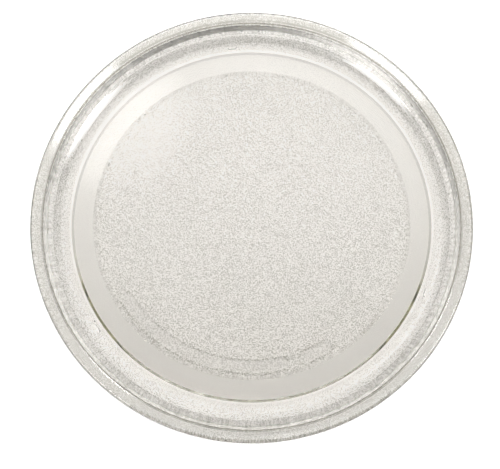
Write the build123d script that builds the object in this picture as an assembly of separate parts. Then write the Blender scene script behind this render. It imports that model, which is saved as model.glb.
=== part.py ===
from build123d import *
import os
from math import cos, radians, sin, tan

# Microwave turntable plate: one piece of pressed clear glass that lies on a roller ring.
# Millimetres, +Z up. The origin is the centre of the plate, on the plane of its roller track.

# Overall form
plate_diameter = 245.0
rim_height = 8.5            # rim crest above the food side of the floor
floor_thickness = 5.0       # glass between the roller track and the food side

# Rim, from the outer edge inwards
edge_radius = 1.6           # rounding from the lip over the crest to the outer edge
edge_draft = 0.9            # how far the outer edge draws in below its widest line
lip_thickness = 3.2
lip_slope = 24.0            # the lip rises outwards, in degrees from level
lip_width = 5.6             # outer edge to the parting ridge, on the food side
ridge_width = 0.6           # fine raised ring where the press tools met
ridge_rise = 0.12
shoulder_width = 4.7        # steep step between the ridge and the curved wall
wall_radius = 20.0          # curved wall between the floor and the shoulder, food side
wall_sweep = 28.0           # how far the curved wall turns up, in degrees

# Underside, from the lip inwards
lip_overhang = 5.7          # outer edge to the top of the upright side under the lip
lip_root = 2.7              # depth of the lip where it meets the side
side_draft = 0.6            # how far the side draws in towards its foot
corner_bevel = 0.4          # breaks the two outer corners of the underside
shelf_width = 4.6           # flat ring between the side and the bevel
shelf_rise = 2.0            # shelf above the edge of the wall's underside
bevel_run = 3.4             # sloping face from the shelf down to the wall's underside
wall_rise = 0.5             # the wall's underside rises outwards from the track step
track_step_height = 1.4
track_step_run = 1.5        # sloping face from the track up to the wall's underside
track_width = 10.6          # smooth ring that the rollers run on
track_inset = 1.6           # track edge inside the edge of the flat floor
centre_relief = 0.4         # the textured middle stands back from the track
relief_run = 2.0

# Three nubs under the wall, just outside the track
nub_count = 3
nub_length = 5.0
nub_width = 1.8
nub_height = 0.8
nub_gap = 3.5               # from the top of the track step to the middle of the nub
nub_edge_chamfer = 0.3
nub_angle = 96.3            # direction of the first nub, in degrees from +X

# Two bare pads under the middle
pad_width = 6.4
pad_gap = 3.9               # from the edge of the track to the pad
pad_height = 0.25
pad_corner_radius = 2.2
long_pad_start = 211.7
long_pad_sweep = 72.3
short_pad_start = 288.6
short_pad_sweep = 12.8

# Radii, worked inwards from the edge
outer_radius = plate_diameter / 2
ridge_foot_radius = outer_radius - lip_width
ridge_top_radius = ridge_foot_radius - ridge_width
wall_top_radius = ridge_top_radius - shoulder_width
floor_radius = wall_top_radius - wall_radius * sin(radians(wall_sweep))
track_outer_radius = floor_radius - track_inset
track_inner_radius = track_outer_radius - track_width
wall_foot_radius = track_outer_radius + track_step_run
side_top_radius = outer_radius - lip_overhang
side_foot_radius = side_top_radius - side_draft
shelf_inner_radius = side_foot_radius - shelf_width
wall_edge_radius = shelf_inner_radius - bevel_run

# Heights above the track
wall_edge_height = track_step_height + wall_rise
shelf_height = wall_edge_height + shelf_rise
crest_height = floor_thickness + rim_height

# Centres of the rounded edge and of the curved wall, as radius and height
edge_centre = Vector(outer_radius - edge_radius, crest_height - edge_radius)
wall_centre = Vector(floor_radius, floor_thickness + wall_radius)
lip_normal = Vector(-sin(radians(lip_slope)), cos(radians(lip_slope)))
lip_top = edge_centre + lip_normal * edge_radius
lip_bottom = lip_top - lip_normal * lip_thickness


def on_lip(face_point, radius):
    """Point at a radius on the face of the lip that goes through face_point."""
    return (radius, face_point.Y + (radius - face_point.X) * tan(radians(lip_slope)))


def pressed_plate():
    """The plate without its nubs and pads, turned from one section."""
    ridge_foot = on_lip(lip_top, ridge_foot_radius)
    ridge_top = (ridge_top_radius, ridge_foot[1] + ridge_rise)
    edge_corner = on_lip(lip_bottom, outer_radius - edge_draft)
    side_top = (side_top_radius, on_lip(lip_top, side_top_radius)[1] - lip_root)
    side_foot = (side_foot_radius, shelf_height)

    with BuildSketch(Plane.XZ) as section:
        with BuildLine():
            wall = CenterArc(wall_centre, wall_radius, 270, wall_sweep)
            Polyline(wall @ 1, ridge_top, ridge_foot, lip_top)
            edge = CenterArc(edge_centre, edge_radius, 90 + lip_slope, -90 - lip_slope)
            Polyline(
                edge @ 1,
                edge_corner,
                side_top,
                side_foot,
                (shelf_inner_radius, shelf_height),
                (wall_edge_radius, wall_edge_height),
                (wall_foot_radius, track_step_height),
                (track_outer_radius, 0),
                (track_inner_radius, 0),
                (track_inner_radius - relief_run, centre_relief),
                (0, centre_relief),
                (0, floor_thickness),
                wall @ 0,
            )
        make_face()
        for corner in (edge_corner, side_foot):
            chamfer(section.vertices().sort_by_distance(corner)[0], corner_bevel)
    return revolve(section.sketch, Axis.Z)


def nubs():
    """Bars along the circumference that stand down from the underside of the wall."""
    nub_radius = wall_foot_radius + nub_gap
    seat_height = track_step_height + wall_rise * nub_gap / (wall_edge_radius - wall_foot_radius)
    root_depth = (floor_thickness - track_step_height) / 2
    with BuildPart() as bars:
        with BuildSketch(Plane.XY.offset(seat_height - nub_height)):
            with PolarLocations(nub_radius, nub_count, start_angle=nub_angle):
                Rectangle(nub_width, nub_length)
        extrude(amount=nub_height + root_depth)
        chamfer(bars.faces().filter_by(Axis.Z).group_by(Axis.Z)[0].edges(), nub_edge_chamfer)
    return bars.part


def pad(start_angle, sweep):
    """Low pad with rounded corners, bent along the track."""
    outer = track_inner_radius - pad_gap
    inner = outer - pad_width
    root_depth = floor_thickness / 4
    with BuildPart() as block:
        with BuildSketch(Plane.XY.offset(centre_relief - pad_height)) as outline:
            with BuildLine():
                outer_arc = CenterArc((0, 0), outer, start_angle, sweep)
                inner_arc = CenterArc((0, 0), inner, start_angle, sweep)
                Line(outer_arc @ 0, inner_arc @ 0)
                Line(outer_arc @ 1, inner_arc @ 1)
            make_face()
            fillet(outline.vertices(), pad_corner_radius)
        extrude(amount=pad_height + root_depth)
    return block.part


turntable_plate = pressed_plate() + nubs()
turntable_plate += pad(long_pad_start, long_pad_sweep)
turntable_plate += pad(short_pad_start, short_pad_sweep)

os.makedirs("parts", exist_ok=True)
export_step(turntable_plate, "parts/turntable_plate.step")
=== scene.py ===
from collections import namedtuple
from math import ceil, cos, floor, hypot, pi, radians, sin, tan
import random
import bpy
from mathutils import Matrix, Vector


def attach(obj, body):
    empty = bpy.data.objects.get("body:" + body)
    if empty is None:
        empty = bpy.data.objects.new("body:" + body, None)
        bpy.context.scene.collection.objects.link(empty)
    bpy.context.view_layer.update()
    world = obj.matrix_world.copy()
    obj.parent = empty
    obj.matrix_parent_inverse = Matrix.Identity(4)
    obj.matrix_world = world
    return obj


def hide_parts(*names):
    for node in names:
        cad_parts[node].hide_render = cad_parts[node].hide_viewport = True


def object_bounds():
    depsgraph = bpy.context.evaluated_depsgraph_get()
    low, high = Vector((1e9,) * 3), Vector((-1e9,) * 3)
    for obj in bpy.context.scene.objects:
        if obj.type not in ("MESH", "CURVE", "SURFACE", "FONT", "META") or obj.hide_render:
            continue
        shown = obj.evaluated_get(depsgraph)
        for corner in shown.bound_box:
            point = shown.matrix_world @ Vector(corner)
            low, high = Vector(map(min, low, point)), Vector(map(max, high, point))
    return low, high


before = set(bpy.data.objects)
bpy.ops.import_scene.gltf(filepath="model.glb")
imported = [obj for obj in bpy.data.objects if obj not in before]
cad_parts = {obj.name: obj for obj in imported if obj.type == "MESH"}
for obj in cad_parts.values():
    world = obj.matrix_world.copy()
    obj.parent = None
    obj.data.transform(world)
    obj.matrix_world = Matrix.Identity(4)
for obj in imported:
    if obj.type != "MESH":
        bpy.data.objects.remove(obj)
cad_low, cad_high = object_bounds()

# The plate is one piece of clear glass, pressed from a gob between a plunger and a mould.
# Its section turns about the middle: flat floor, curved wall, steep shoulder and sloping lip above,
# and below them the upright side, a shelf, the underside of the wall and the roller track.
MM = 0.001
outer_radius = min(cad_high.x, cad_high.y, -cad_low.x, -cad_low.y) / MM
crest_height = cad_high.z / MM
floor_top = 5.0
edge_radius = 1.6
edge_draft = 0.9
lip_thickness = 3.2
lip_slope = radians(24)
lip_width = 5.6
ridge_width = 0.6
ridge_rise = 0.12
shoulder_width = 4.7
wall_radius = 20.0
wall_sweep = radians(28)
lip_overhang = 5.7
lip_root = 2.7
side_draft = 0.6
shelf_width = 4.6
shelf_height = 3.9
bevel_run = 3.4
wall_edge_height = 1.9
track_step_height = 1.4
track_step_run = 1.5
track_inset = 1.6
track_width = 10.6
centre_relief = 0.4
relief_run = 2.0

ridge_foot_radius = outer_radius - lip_width
ridge_top_radius = ridge_foot_radius - ridge_width
wall_top_radius = ridge_top_radius - shoulder_width
floor_radius = wall_top_radius - wall_radius * sin(wall_sweep)
track_outer_radius = floor_radius - track_inset
track_inner_radius = track_outer_radius - track_width
wall_foot_radius = track_outer_radius + track_step_run
side_top_radius = outer_radius - lip_overhang
side_foot_radius = side_top_radius - side_draft
shelf_inner_radius = side_foot_radius - shelf_width
wall_edge_radius = shelf_inner_radius - bevel_run

edge_centre = Vector((outer_radius - edge_radius, crest_height - edge_radius))
lip_normal = Vector((-sin(lip_slope), cos(lip_slope)))
lip_top = edge_centre + lip_normal * edge_radius
lip_bottom = lip_top - lip_normal * lip_thickness


def on_lip(face_point, radius):
    """Point at a radius on the face of the lip that goes through face_point."""
    return radius, face_point.y + (radius - face_point.x) * tan(lip_slope)


ridge_foot = on_lip(lip_top, ridge_foot_radius)
ridge_top_height = ridge_foot[1] + ridge_rise
side_top_height = on_lip(lip_top, side_top_radius)[1] - lip_root
wall_top_height = floor_top + wall_radius * (1 - cos(wall_sweep))
wall_bend_radius = floor_radius + wall_radius * tan(wall_sweep / 2)


def on_shoulder(inset):
    """Point on the food side of the shoulder, inside the top of the ridge."""
    share = 1 - inset / shoulder_width
    return ridge_top_radius - inset, wall_top_height + share * (ridge_top_height - wall_top_height)


def under_lip(inset):
    """Point on the underside of the lip, inside the outer edge."""
    return on_lip(lip_bottom, outer_radius - inset)


def on_side(share):
    """Point on the upright side, at a share of its height above its foot."""
    return side_foot_radius + share * side_draft, shelf_height + share * (side_top_height - shelf_height)


def on_wall_back(outset):
    """Point on the underside of the wall, outside its foot."""
    share = outset / (wall_edge_radius - wall_foot_radius)
    return wall_foot_radius + outset, track_step_height + share * (wall_edge_height - track_step_height)


# What the face between two corners carries, each from 0 to 1: pebbles of the mould, upright streaks
# of the mould, even shade, and shade broken into dots.
Finish = namedtuple("Finish", "stipple streaks shade dots", defaults=(0, 0, 0, 0))
polished = Finish()
pebbled = Finish(stipple=1)
half_pebbled = Finish(stipple=0.8)
# Pebbles greyed by painted shade, put in the corners of the shelf.
corner_painted_shade = Finish(stipple=0.8, shade=0.4)
# Frosted pebbles greyed by painted shade, for the shade that falls under the lip.
frosted_painted_shade = Finish(stipple=0.8, shade=0.62)
# The same frosted skin and painted shade, with darker dots along a broken ring on the far side only.
dotted = frosted_painted_shade._replace(dots=1)
streaked = Finish(stipple=0.2, streaks=1)
fluted = Finish(stipple=0.35, streaks=1)
# Full painted shade: a fine dark line on the shoulder, inside the top of the ridge.
painted_shade_line = Finish(shade=1)
# A little frosted, with painted shade that greys the rounded outer edge.
edge_painted_shade = Finish(stipple=0.4, shade=0.2)
# Painted shade on the step down to the roller track, a dark ring where shade falls beside it.
step_painted_shade = Finish(shade=0.34)
# Painted shade that greys the roller track, for the shade under the plate.
track_painted_shade = Finish(shade=0.38)
ticked = Finish(stipple=0.6, streaks=0.6, shade=0.1)

# Where a finish begins or ends between corners, in millimetres from the corner beside it.
# The painted dark line on the shoulder lies between these insets from the top of the ridge.
shade_line_inner, shade_line_outer = 0.6, 0.12
shade_line_inner_fade, shade_line_outer_fade = 0.1, 0.07
dots_outer, dots_inner = 3.3, 3.9
dots_fade = 0.2
# The painted shade under the lip reaches this far in from the outer edge.
frosted_shade_end = 5.3
flutes_foot = 0.08          # share of the side's height
# Painted shade darkens both corners of the shelf: it fades out over the reach, and peaks this far from the
# inner corner.
corner_shade_reach, corner_shade_peak = 1.1, 0.4
bare_edge, bare_fade = 0.9, 0.3
step_shade_reach = 0.5
track_edge = 0.3
step_steeper = 0.25         # the step is a little steeper than the solid's, to show as a fine ring
wall_arc_share = 0.97       # leaves room for the rounding at the top of the wall

# Corners of the section from the middle of the top, round the rim, to the middle of the underside:
# radius, height, rounding, and the finish of the face that follows.
section = [
    (0, floor_top, 0, polished),
    (wall_bend_radius, floor_top, wall_radius * wall_arc_share, polished),
    (wall_top_radius, wall_top_height, 0.6, streaked),
    (*on_shoulder(shade_line_inner + shade_line_inner_fade), 0, streaked),
    (*on_shoulder(shade_line_inner), 0, painted_shade_line),
    (*on_shoulder(shade_line_outer), 0, painted_shade_line),
    (*on_shoulder(shade_line_outer - shade_line_outer_fade), 0, polished),
    (ridge_top_radius, ridge_top_height, 0.05, polished),
    (*ridge_foot, 0.15, polished),
    (*on_lip(lip_top, outer_radius), edge_radius, edge_painted_shade),
    (outer_radius, edge_centre.y, 0.6, edge_painted_shade),
    (*under_lip(edge_draft), 0.5, frosted_painted_shade),
    (*under_lip(dots_outer - dots_fade), 0, frosted_painted_shade),
    (*under_lip(dots_outer), 0, dotted),
    (*under_lip(dots_inner), 0, dotted),
    (*under_lip(dots_inner + dots_fade), 0, frosted_painted_shade),
    (*under_lip(frosted_shade_end), 0, frosted_painted_shade),
    (side_top_radius, side_top_height, 0.2, fluted),
    (*on_side(flutes_foot), 0, fluted),
    # The shelf, with painted shade in its corners.
    (side_foot_radius, shelf_height, 0.15, corner_painted_shade),
    (side_foot_radius - corner_shade_reach, shelf_height, 0, half_pebbled),
    (shelf_inner_radius + corner_shade_reach, shelf_height, 0, half_pebbled),
    (shelf_inner_radius + corner_shade_peak, shelf_height, 0, corner_painted_shade),
    (shelf_inner_radius, shelf_height, 0.2, pebbled),
    (wall_edge_radius, wall_edge_height, 0.3, half_pebbled),
    (*on_wall_back(bare_edge + bare_fade), 0, half_pebbled),
    (*on_wall_back(bare_edge), 0, polished),
    (wall_foot_radius - step_steeper, track_step_height, 0.15, step_painted_shade),
    (track_outer_radius, 0, 0.15, step_painted_shade),
    (track_outer_radius - step_shade_reach, 0, 0, track_painted_shade),
    (track_inner_radius + track_edge, 0, 0, track_painted_shade),
    (track_inner_radius, 0, 0.2, ticked),
    (track_inner_radius - relief_run, centre_relief, 0.2, pebbled),
    (0, centre_relief, 0, pebbled),
]

# Three nubs stand down from the wall just outside the track, and two bare pads from the middle.
# They are sunk in the mould, so they are one glass with the plate and have soft edges.
# A thin line of painted shade runs just outside the edge of each pad.
nub_count = 3
nub_length = 5.0
nub_width = 1.8
nub_height = 0.8
nub_corner_radius = 0.81
nub_gap = 3.5
nub_angle = radians(96.3)
nub_radius = wall_foot_radius + nub_gap
pad_width = 6.4
pad_height = 0.25
pad_corner_radius = 2.2
pad_gap = 3.9
pad_middle_radius = track_inner_radius - pad_gap - pad_width / 2
pads = [(radians(211.7), radians(72.3)), (radians(288.6), radians(12.8))]
pad_clearing = 0.35         # share of the pebbles that a pad lacks
pad_shade = 0.16
pad_edge_painted_shade = 0.4
pad_line_gap = 0.4
pad_line_half_width = 0.5
edge_soft = 0.5


def soft_step(inside):
    """0 outside an edge and 1 inside it, easing over the width of the edge; inside is in millimetres."""
    share = min(1.0, max(0.0, inside / edge_soft + 0.5))
    return share * share * (3 - 2 * share)


def bar_depth(along, across, length, width, corner):
    """How far a point lies inside a rectangle with rounded corners, negative outside it."""
    past_length = abs(along) - length / 2 + corner
    past_width = abs(across) - width / 2 + corner
    return corner - hypot(max(past_length, 0), max(past_width, 0)) - min(max(past_length, past_width), 0)


def turned(angle, start):
    """An angle measured from start, between minus and plus half a turn."""
    return (angle - start + pi) % (2 * pi) - pi


def nub_depth(radius, angle):
    """How far a point of the underside lies inside the nearest nub."""
    pitch = 2 * pi / nub_count
    nearest = nub_angle + pitch * floor(turned(angle, nub_angle) / pitch + 0.5)
    along = turned(angle, nearest) * nub_radius
    return bar_depth(along, radius - nub_radius, nub_length, nub_width, nub_corner_radius)


def pad_depth(radius, angle):
    """How far a point of the underside lies inside a pad."""
    depths = []
    for start, sweep in pads:
        along = turned(angle, start + sweep / 2) * pad_middle_radius
        length = sweep * pad_middle_radius
        depths.append(bar_depth(along, radius - pad_middle_radius, length, pad_width, pad_corner_radius))
    return max(depths)


# The glass is meshed in rings about its middle, from the food side round the rim to the underside.
# Pebbled faces have points at random, further apart than the real pebbles, so that the mesh stays
# under its limit of triangles; nubs and the edges of pads have them close together.
smooth_segments, least_segments = 480, 24
segments_per_radius = 8
smooth_spacing = 30.0
stipple_spacing = 1.3
fine_spacing = 0.36
wander = 0.2                # share of the spacing that a point at random may move either way
nub_margin, pad_edge_margin = 0.3, 0.8
nub_patch_length = nub_length * 1.4
arc_step = radians(7)
arc_spacing = 1.0
least_turn = 0.001
least_length = 1e-6
grain_from = 0.4            # stipple above which a face is meshed as a pebbled one
dots_middle, dots_reach = radians(93), radians(37)
dot_share, dot_share_gain = 0.35, 1.7


def spacing_at(radius, stippled):
    """How far apart the rings lie: close where a nub or the edge of a pad has to show."""
    if not stippled:
        return smooth_spacing
    nub_reach = abs(radius - nub_radius) - nub_width / 2 - nub_margin
    pad_edge_reach = abs(abs(radius - pad_middle_radius) - pad_width / 2) - pad_edge_margin
    return fine_spacing if min(nub_reach, pad_edge_reach) < 0 else stipple_spacing


def section_path():
    """The section with its corners rounded, as rows of (point, finish)."""
    corners = [Vector((radius, height)) for radius, height, rounding, finish in section]
    finishes = [finish for radius, height, rounding, finish in section]
    path = [(corners[0], finishes[0])]
    for index in range(1, len(section) - 1):
        corner = corners[index]
        into = (corner - corners[index - 1]).normalized()
        out = (corners[index + 1] - corner).normalized()
        turn = into.angle_signed(out)
        if abs(turn) < least_turn:
            path.append((corner, finishes[index]))
            continue
        rounding = section[index][2]
        start = corner - into * rounding * tan(abs(turn) / 2)
        side = Vector((into.y, -into.x)) * (1 if turn > 0 else -1)
        centre = start + side * rounding
        steps = max(2, ceil(abs(turn) / arc_step), ceil(abs(turn) * rounding / arc_spacing))
        for step in range(steps + 1):
            spoke = Matrix.Rotation(-turn * step / steps, 2) @ (start - centre)
            path.append((centre + spoke, finishes[index - 1 if step < steps / 2 else index]))
    path.append((corners[-1], finishes[-1]))
    return path


def section_rows():
    """Rows of (point, tangent, finish, loose) along the section; points of loose rows may wander."""
    rows = []
    path = section_path()
    for (here, finish), (there, next_finish) in zip(path, path[1:]):
        length = (there - here).length
        tangent = (there - here).normalized()
        stippled = min(finish.stipple, next_finish.stipple) > grain_from and not finish.streaks
        travelled = 0.0
        while travelled < length - least_length:
            spot = here + tangent * travelled
            rows.append((spot, tangent, finish, travelled > 0 and stippled))
            left = length - travelled
            travelled += left / ceil(left / spacing_at(spot.x, stippled) - least_length)
    middle, finish = path[-1]
    rows.append((middle, Vector((-1, 0)), finish, False))
    return rows


def ring_angles(radius, stippled):
    """Angles of the points of one ring, spread at random where the ring is stippled."""
    if radius == 0:
        return [0.0]
    if not stippled:
        count = max(least_segments, min(smooth_segments, round(segments_per_radius * radius)))
        return [2 * pi * i / count for i in range(count)]
    count = round(2 * pi * radius / stipple_spacing)
    angles = [2 * pi * (i + random.uniform(-wander, wander)) / count for i in range(count)]
    if abs(radius - nub_radius) < nub_width:
        half = nub_patch_length / 2 / nub_radius
        fine_count = ceil(nub_patch_length / fine_spacing)
        for nub in range(nub_count):
            middle = nub_angle + 2 * pi * nub / nub_count
            angles = [a for a in angles if abs(turned(a, middle)) > half]
            angles += [middle + half * (2 * i / (fine_count - 1) - 1) for i in range(fine_count)]
    return sorted(a % (2 * pi) for a in angles)


def dot_shade(angle):
    """Shade of one point of the broken line under the lip, which runs along the far side only."""
    from_middle = abs(turned(angle, dots_middle))
    return (random.random() < dot_share + dot_share_gain * from_middle) * (from_middle < dots_reach)


random.seed(245)
points, rings, faces, masks = [], [], [], []
for spot, tangent, (stipple, streaks, shade, dots), loose in section_rows():
    angles = ring_angles(spot.x, dots or stipple > grain_from and not streaks)
    under = spot.y < floor_top / 2 and spot.x < nub_radius + nub_width
    first = len(points)
    for angle in angles:
        stray = random.uniform(-wander, wander) * spacing_at(spot.x, stipple)
        here = spot + tangent * stray if loose else spot
        pad_inside = pad_depth(here.x, angle) if under else -outer_radius
        pad = soft_step(pad_inside)
        nub = soft_step(nub_depth(here.x, angle)) if under else 0
        height = here.y - pad_height * pad - nub_height * nub
        points.append((here.x * cos(angle) * MM, here.x * sin(angle) * MM, height * MM))
        # Painted shade in a thin line just outside the edge of a pad.
        pad_line = max(0, 1 - abs(pad_inside + pad_line_gap) / pad_line_half_width)
        masks.append((
            stipple * (1 - pad_clearing * pad) * (1 - nub),
            streaks,
            shade + (dot_shade(angle) if dots else 0) + pad_shade * pad + pad_edge_painted_shade * pad_line,
        ))
    rings.append((range(first, len(points)), angles))

# Each pair of rings is joined by triangles, taking the next point of whichever ring is behind.
for (inner, inner_angles), (outer, outer_angles) in zip(rings, rings[1:]):
    i = j = 0
    while i < len(inner) or j < len(outer):
        next_i = inner_angles[i + 1] if i + 1 < len(inner) else inner_angles[0] + 2 * pi
        next_j = outer_angles[j + 1] if j + 1 < len(outer) else outer_angles[0] + 2 * pi
        a, b = inner[i % len(inner)], outer[j % len(outer)]
        if i < len(inner) and (j >= len(outer) or next_i < next_j):
            i += 1
            if len(inner) > 1:
                faces.append((a, b, inner[i % len(inner)]))
        else:
            j += 1
            if len(outer) > 1:
                faces.append((a, b, outer[j % len(outer)]))

pressed_mesh = bpy.data.meshes.new("turntable_plate_glass")
pressed_mesh.from_pydata(points, [], faces)
pressed_mesh.polygons.foreach_set("use_smooth", [True] * len(faces))
for name, values in zip(("stipple", "streaks", "shade"), zip(*masks)):
    pressed_mesh.attributes.new(name, "FLOAT", "POINT").data.foreach_set("value", values)
plate = bpy.data.objects.new("turntable_plate_glass", pressed_mesh)
bpy.context.scene.collection.objects.link(plate)

# Clear soda-lime glass, a little grey and warm where the light goes through it twice.
# The food side is fire-polished; underneath, the pebbles of the mould break the light into grain,
# the side shows upright streaks, and painted shade greys the frosted skin under the lip, the roller track and
# its step, the rim's edge, the shelf's corners and a fine line on the shoulder.
stipple_pitch = 0.52        # the real spacing of pebbles and streaks, as the photo shows it
streak_pitch = 1.2
bump_depth = 0.1
pebble_light, pebble_dark, pebble_shade = 0.56, 0.36, 0.9
streak_light, streak_dark, streak_shade = 0.42, 0.62, 0.45
polished_roughness, frosted_roughness = 0.02, 0.3
frosted_from = 0.5          # stipple from which the skin is fully frosted


def linear(hex_colour):
    """Linear colour with full alpha from an sRGB hex value."""
    parts = [int(hex_colour[i:i + 2], 16) / 255 for i in (1, 3, 5)]
    return (*[p / 12.92 if p <= 0.04045 else ((p + 0.055) / 1.055) ** 2.4 for p in parts], 1)


def add_node(tree, kind, settings=None, links=None):
    """Adds a node; settings go to its properties or sockets, links join its sockets to others."""
    node = tree.nodes.new(kind)
    for name, value in (settings or {}).items():
        if isinstance(name, str) and hasattr(node, name):
            setattr(node, name, value)
        else:
            node.inputs[name].default_value = value
    for name, source in (links or {}).items():
        tree.links.new(source, node.inputs[name])
    return node


clear_glass, shaded_glass, deep_glass = linear("#fefcfa"), linear("#7d7a70"), linear("#e4e3d6")
glass = bpy.data.materials.new("clear_pressed_glass")
glass.use_nodes = True
tree = glass.node_tree
tree.nodes.clear()
place = add_node(tree, "ShaderNodeTexCoord").outputs["Object"]
stipple_here, streaks_here, shade_here = (
    add_node(tree, "ShaderNodeAttribute", {"attribute_name": name}).outputs["Fac"]
    for name in ("stipple", "streaks", "shade")
)
pebbles = add_node(
    tree, "ShaderNodeTexNoise",
    {"Scale": 1 / (stipple_pitch * MM), "Detail": 0.0}, {"Vector": place},
).outputs["Fac"]

# The streaks run upright: their noise is read on a circle, by the direction from the middle alone.
flat_spoke = add_node(tree, "ShaderNodeVectorMath", {"operation": "MULTIPLY", 1: (1, 1, 0)}, {0: place})
spoke = add_node(
    tree, "ShaderNodeVectorMath", {"operation": "NORMALIZE"}, {0: flat_spoke.outputs["Vector"]},
)
streak = add_node(
    tree, "ShaderNodeTexNoise",
    {"Scale": side_top_radius / streak_pitch, "Detail": 2.0}, {"Vector": spoke.outputs["Vector"]},
).outputs["Fac"]

darkness = shade_here
for pattern, light, dark, most, where in (
    (pebbles, pebble_light, pebble_dark, pebble_shade, stipple_here),
    (streak, streak_light, streak_dark, streak_shade, streaks_here),
):
    strength = add_node(
        tree, "ShaderNodeMapRange", {"From Min": light, "From Max": dark, "To Max": most}, {"Value": pattern},
    )
    darkness = add_node(
        tree, "ShaderNodeMath", {"operation": "MULTIPLY_ADD"},
        {0: strength.outputs["Result"], 1: where, 2: darkness},
    ).outputs["Value"]
tint = add_node(
    tree, "ShaderNodeMix", {"data_type": "RGBA", 6: clear_glass, 7: shaded_glass}, {0: darkness},
)
rough = add_node(
    tree, "ShaderNodeMapRange",
    {"From Max": frosted_from, "To Min": polished_roughness, "To Max": frosted_roughness},
    {"Value": stipple_here},
)
flutes = add_node(tree, "ShaderNodeMath", {"operation": "MULTIPLY"}, {0: streak, 1: streaks_here})
heights = add_node(
    tree, "ShaderNodeMath", {"operation": "MULTIPLY_ADD"},
    {0: pebbles, 1: stipple_here, 2: flutes.outputs["Value"]},
)
relief = add_node(
    tree, "ShaderNodeBump", {"Distance": bump_depth * MM}, {"Height": heights.outputs["Value"]},
)
shader = add_node(
    tree, "ShaderNodeBsdfPrincipled", {"Transmission Weight": 1.0, "IOR": 1.52},
    {
        "Base Color": tint.outputs[2],
        "Roughness": rough.outputs["Result"],
        "Normal": relief.outputs["Normal"],
    },
)
absorb = add_node(tree, "ShaderNodeVolumeAbsorption", {"Color": deep_glass, "Density": 25.0})
add_node(
    tree, "ShaderNodeOutputMaterial", None,
    {"Surface": shader.outputs["BSDF"], "Volume": absorb.outputs["Volume"]},
)

# The stipple is cut into the mould, and lifts the underside of the glass in pebbles.
# It follows the mask that the faces carry, and is pressed into the mesh before the mesh is read.
stipple_depth = 0.10
stipple_seed = 7.0
press = bpy.data.node_groups.new("pressed_stipple", "GeometryNodeTree")
press.interface.new_socket("Geometry", in_out="OUTPUT", socket_type="NodeSocketGeometry")
press.interface.new_socket("Geometry", in_out="INPUT", socket_type="NodeSocketGeometry")
press_inputs = {}
for name, kind, value in (
    ("Pitch", "NodeSocketFloat", stipple_pitch * MM),
    ("Depth", "NodeSocketFloat", stipple_depth * MM),
    ("Seed", "NodeSocketFloat", stipple_seed),
    ("Glass", "NodeSocketMaterial", glass),
):
    socket = press.interface.new_socket(name, in_out="INPUT", socket_type=kind)
    press_inputs[socket.identifier] = value
given = add_node(press, "NodeGroupInput").outputs
fineness = add_node(press, "ShaderNodeMath", {"operation": "DIVIDE", 0: 1.0}, {1: given["Pitch"]})
noise = add_node(
    press, "ShaderNodeTexNoise", {"noise_dimensions": "4D", "Detail": 0.0},
    {"W": given["Seed"], "Scale": fineness.outputs["Value"]},
)
centred = add_node(
    press, "ShaderNodeMath", {"operation": "SUBTRACT", 1: 0.5}, {0: noise.outputs["Fac"]},
)
mask = add_node(press, "GeometryNodeInputNamedAttribute", {"data_type": "FLOAT", "Name": "stipple"})
masked = add_node(
    press, "ShaderNodeMath", {"operation": "MULTIPLY"},
    {0: centred.outputs["Value"], 1: mask.outputs["Attribute"]},
)
lift = add_node(
    press, "ShaderNodeMath", {"operation": "MULTIPLY"}, {0: masked.outputs["Value"], 1: given["Depth"]},
)
normal = add_node(press, "GeometryNodeInputNormal")
offset = add_node(
    press, "ShaderNodeVectorMath", {"operation": "SCALE"},
    {"Vector": normal.outputs["Normal"], "Scale": lift.outputs["Value"]},
)
moved = add_node(
    press, "GeometryNodeSetPosition", None,
    {"Geometry": given["Geometry"], "Offset": offset.outputs["Vector"]},
)
real = add_node(press, "GeometryNodeRealizeInstances", None, {"Geometry": moved.outputs["Geometry"]})
made = add_node(
    press, "GeometryNodeSetMaterial", None,
    {"Geometry": real.outputs["Geometry"], "Material": given["Glass"]},
)
add_node(press, "NodeGroupOutput", None, {"Geometry": made.outputs["Geometry"]})

modifier = plate.modifiers.new("pressed_stipple", "NODES")
modifier.node_group = press
for identifier, value in press_inputs.items():
    modifier[identifier] = value
depsgraph = bpy.context.evaluated_depsgraph_get()
plate_mesh = bpy.data.meshes.new_from_object(
    plate.evaluated_get(depsgraph), preserve_all_data_layers=True, depsgraph=depsgraph
)
plate.modifiers.clear()
plate.data = plate_mesh

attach(plate, "root")
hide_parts("turntable_plate")

# The floor is a wide sheet of matt white paper that fills the view.
# It lies flat, a hair below the roller track, so that the two faces don't meet.
floor_half = 3.0
floor_level = -0.05 * MM
floor_mesh = bpy.data.meshes.new("studio_floor")
floor_corners = [
    (x * floor_half, y * floor_half, floor_level) for x, y in ((-1, -1), (1, -1), (1, 1), (-1, 1))
]
floor_mesh.from_pydata(floor_corners, [], [(0, 1, 2, 3)])
studio_floor = bpy.data.objects.new("studio_floor", floor_mesh)
bpy.context.scene.collection.objects.link(studio_floor)

# Matt white paper: bright and even, with no gloss.
paper = bpy.data.materials.new("matt_white_paper")
paper.use_nodes = True
paper_shader = paper.node_tree.nodes["Principled BSDF"].inputs
paper_shader["Base Color"].default_value = linear("#fbfbfb")
paper_shader["Roughness"].default_value = 1.0
paper_shader["Specular IOR Level"].default_value = 0.0
floor_mesh.materials.append(paper)

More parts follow.
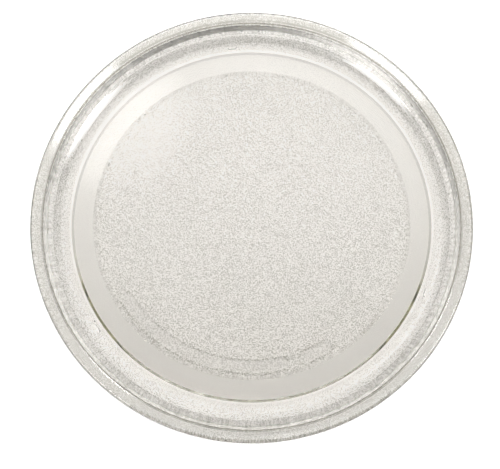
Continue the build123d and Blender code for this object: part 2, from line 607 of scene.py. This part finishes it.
# The light is a white wall beyond the plate that fades towards the floor, a dim room in front that is
# paler low down, and soft lamps, whose glints lie on the rim.
# A lamp is its sideways run for each unit of height, its angles of full and of no glow, and its radiance.
wall_light, near_light, room_light = 1.8, 0.2, 0.4
wall_at_floor = 0.4         # share of the wall's light that is left at floor level
lamps = [
    ((-0.36, -0.16), 5, 8, 10.0),
    ((-0.52, -0.30), 5, 10, 10.0),
    ((0.28, 0.04), 2, 4, 8.0),
    ((0.38, -0.02), 3, 8, 8.0),
    ((0.50, -0.07), 5, 10, 8.0),
    ((0.62, -0.08), 5, 9, 8.0),
    ((-0.20, 0.40), 2, 7, 2.0),
    ((0.0, 0.55), 5, 28, 1.6),
    ((-1.15, -1.3), 8, 22, 2.2),
    ((1.75, -0.85), 8, 20, 1.0),
]
world = bpy.data.worlds.new("studio")
bpy.context.scene.world = world
world.use_nodes = True
sky = world.node_tree
towards = add_node(sky, "ShaderNodeTexCoord").outputs["Generated"]
axes = add_node(sky, "ShaderNodeSeparateXYZ", None, {"Vector": towards}).outputs
wall, rise, front, low = (
    add_node(
        sky, "ShaderNodeMapRange",
        {
            "interpolation_type": "SMOOTHSTEP", "From Min": start, "From Max": end,
            "To Min": start_light, "To Max": end_light,
        },
        {"Value": axes[axis]},
    ).outputs["Result"]
    for axis, start, end, start_light, end_light in (
        ("Y", -0.05, 0.5, near_light, near_light + wall_light),
        ("Z", 0.0, 0.6, wall_at_floor, 1.0),
        ("Y", 0.3, -0.3, 0.0, room_light),
        ("Z", 0.5, 0.1, 0.0, 1.0),
    )
)
total = add_node(sky, "ShaderNodeMath", {"operation": "MULTIPLY"}, {0: wall, 1: rise}).outputs["Value"]
total = add_node(
    sky, "ShaderNodeMath", {"operation": "MULTIPLY_ADD"}, {0: low, 1: front, 2: total},
).outputs["Value"]
for (run_x, run_y), full_angle, end_angle, radiance in lamps:
    aim = Vector((run_x, run_y, 1)).normalized()
    facing = add_node(sky, "ShaderNodeVectorMath", {"operation": "DOT_PRODUCT", 1: aim}, {0: towards})
    glow = add_node(
        sky, "ShaderNodeMapRange",
        {
            "interpolation_type": "SMOOTHSTEP", "From Min": cos(radians(end_angle)),
            "From Max": cos(radians(full_angle)), "To Max": radiance,
        },
        {"Value": facing.outputs["Value"]},
    )
    total = add_node(
        sky, "ShaderNodeMath", {"operation": "ADD"}, {0: total, 1: glow.outputs["Result"]},
    ).outputs["Value"]
background = sky.nodes["Background"]
background.inputs["Color"].default_value = (1, 1, 1, 1)
sky.links.new(total, background.inputs["Strength"])

# The camera looks down at the plate from in front, as in the photograph.
# Its lens is the one that gives the photograph's foreshortening, in pixels of that frame.
photo_width = 500
lens_in_pixels = 725.3
sensor = 36.0
camera_place = Vector((-0.88, -98.18, 401.92))
camera_target = Vector((-0.88, -9.3, 1.67))
camera_data = bpy.data.cameras.new("camera")
camera_data.sensor_fit = "HORIZONTAL"
camera_data.sensor_width = sensor
camera_data.lens = sensor * lens_in_pixels / photo_width
camera_data.clip_start = 0.01
camera = bpy.data.objects.new("camera", camera_data)
camera.location = camera_place * MM
camera.rotation_euler = (camera_target - camera_place).to_track_quat("-Z", "Y").to_euler()
bpy.context.scene.collection.objects.link(camera)
bpy.context.scene.camera = camera
bpy.context.scene.view_settings.view_transform = "Standard"
bpy.context.scene.cycles.max_bounces = 24
bpy.context.scene.cycles.transmission_bounces = 20
bpy.context.scene.cycles.glossy_bounces = 12
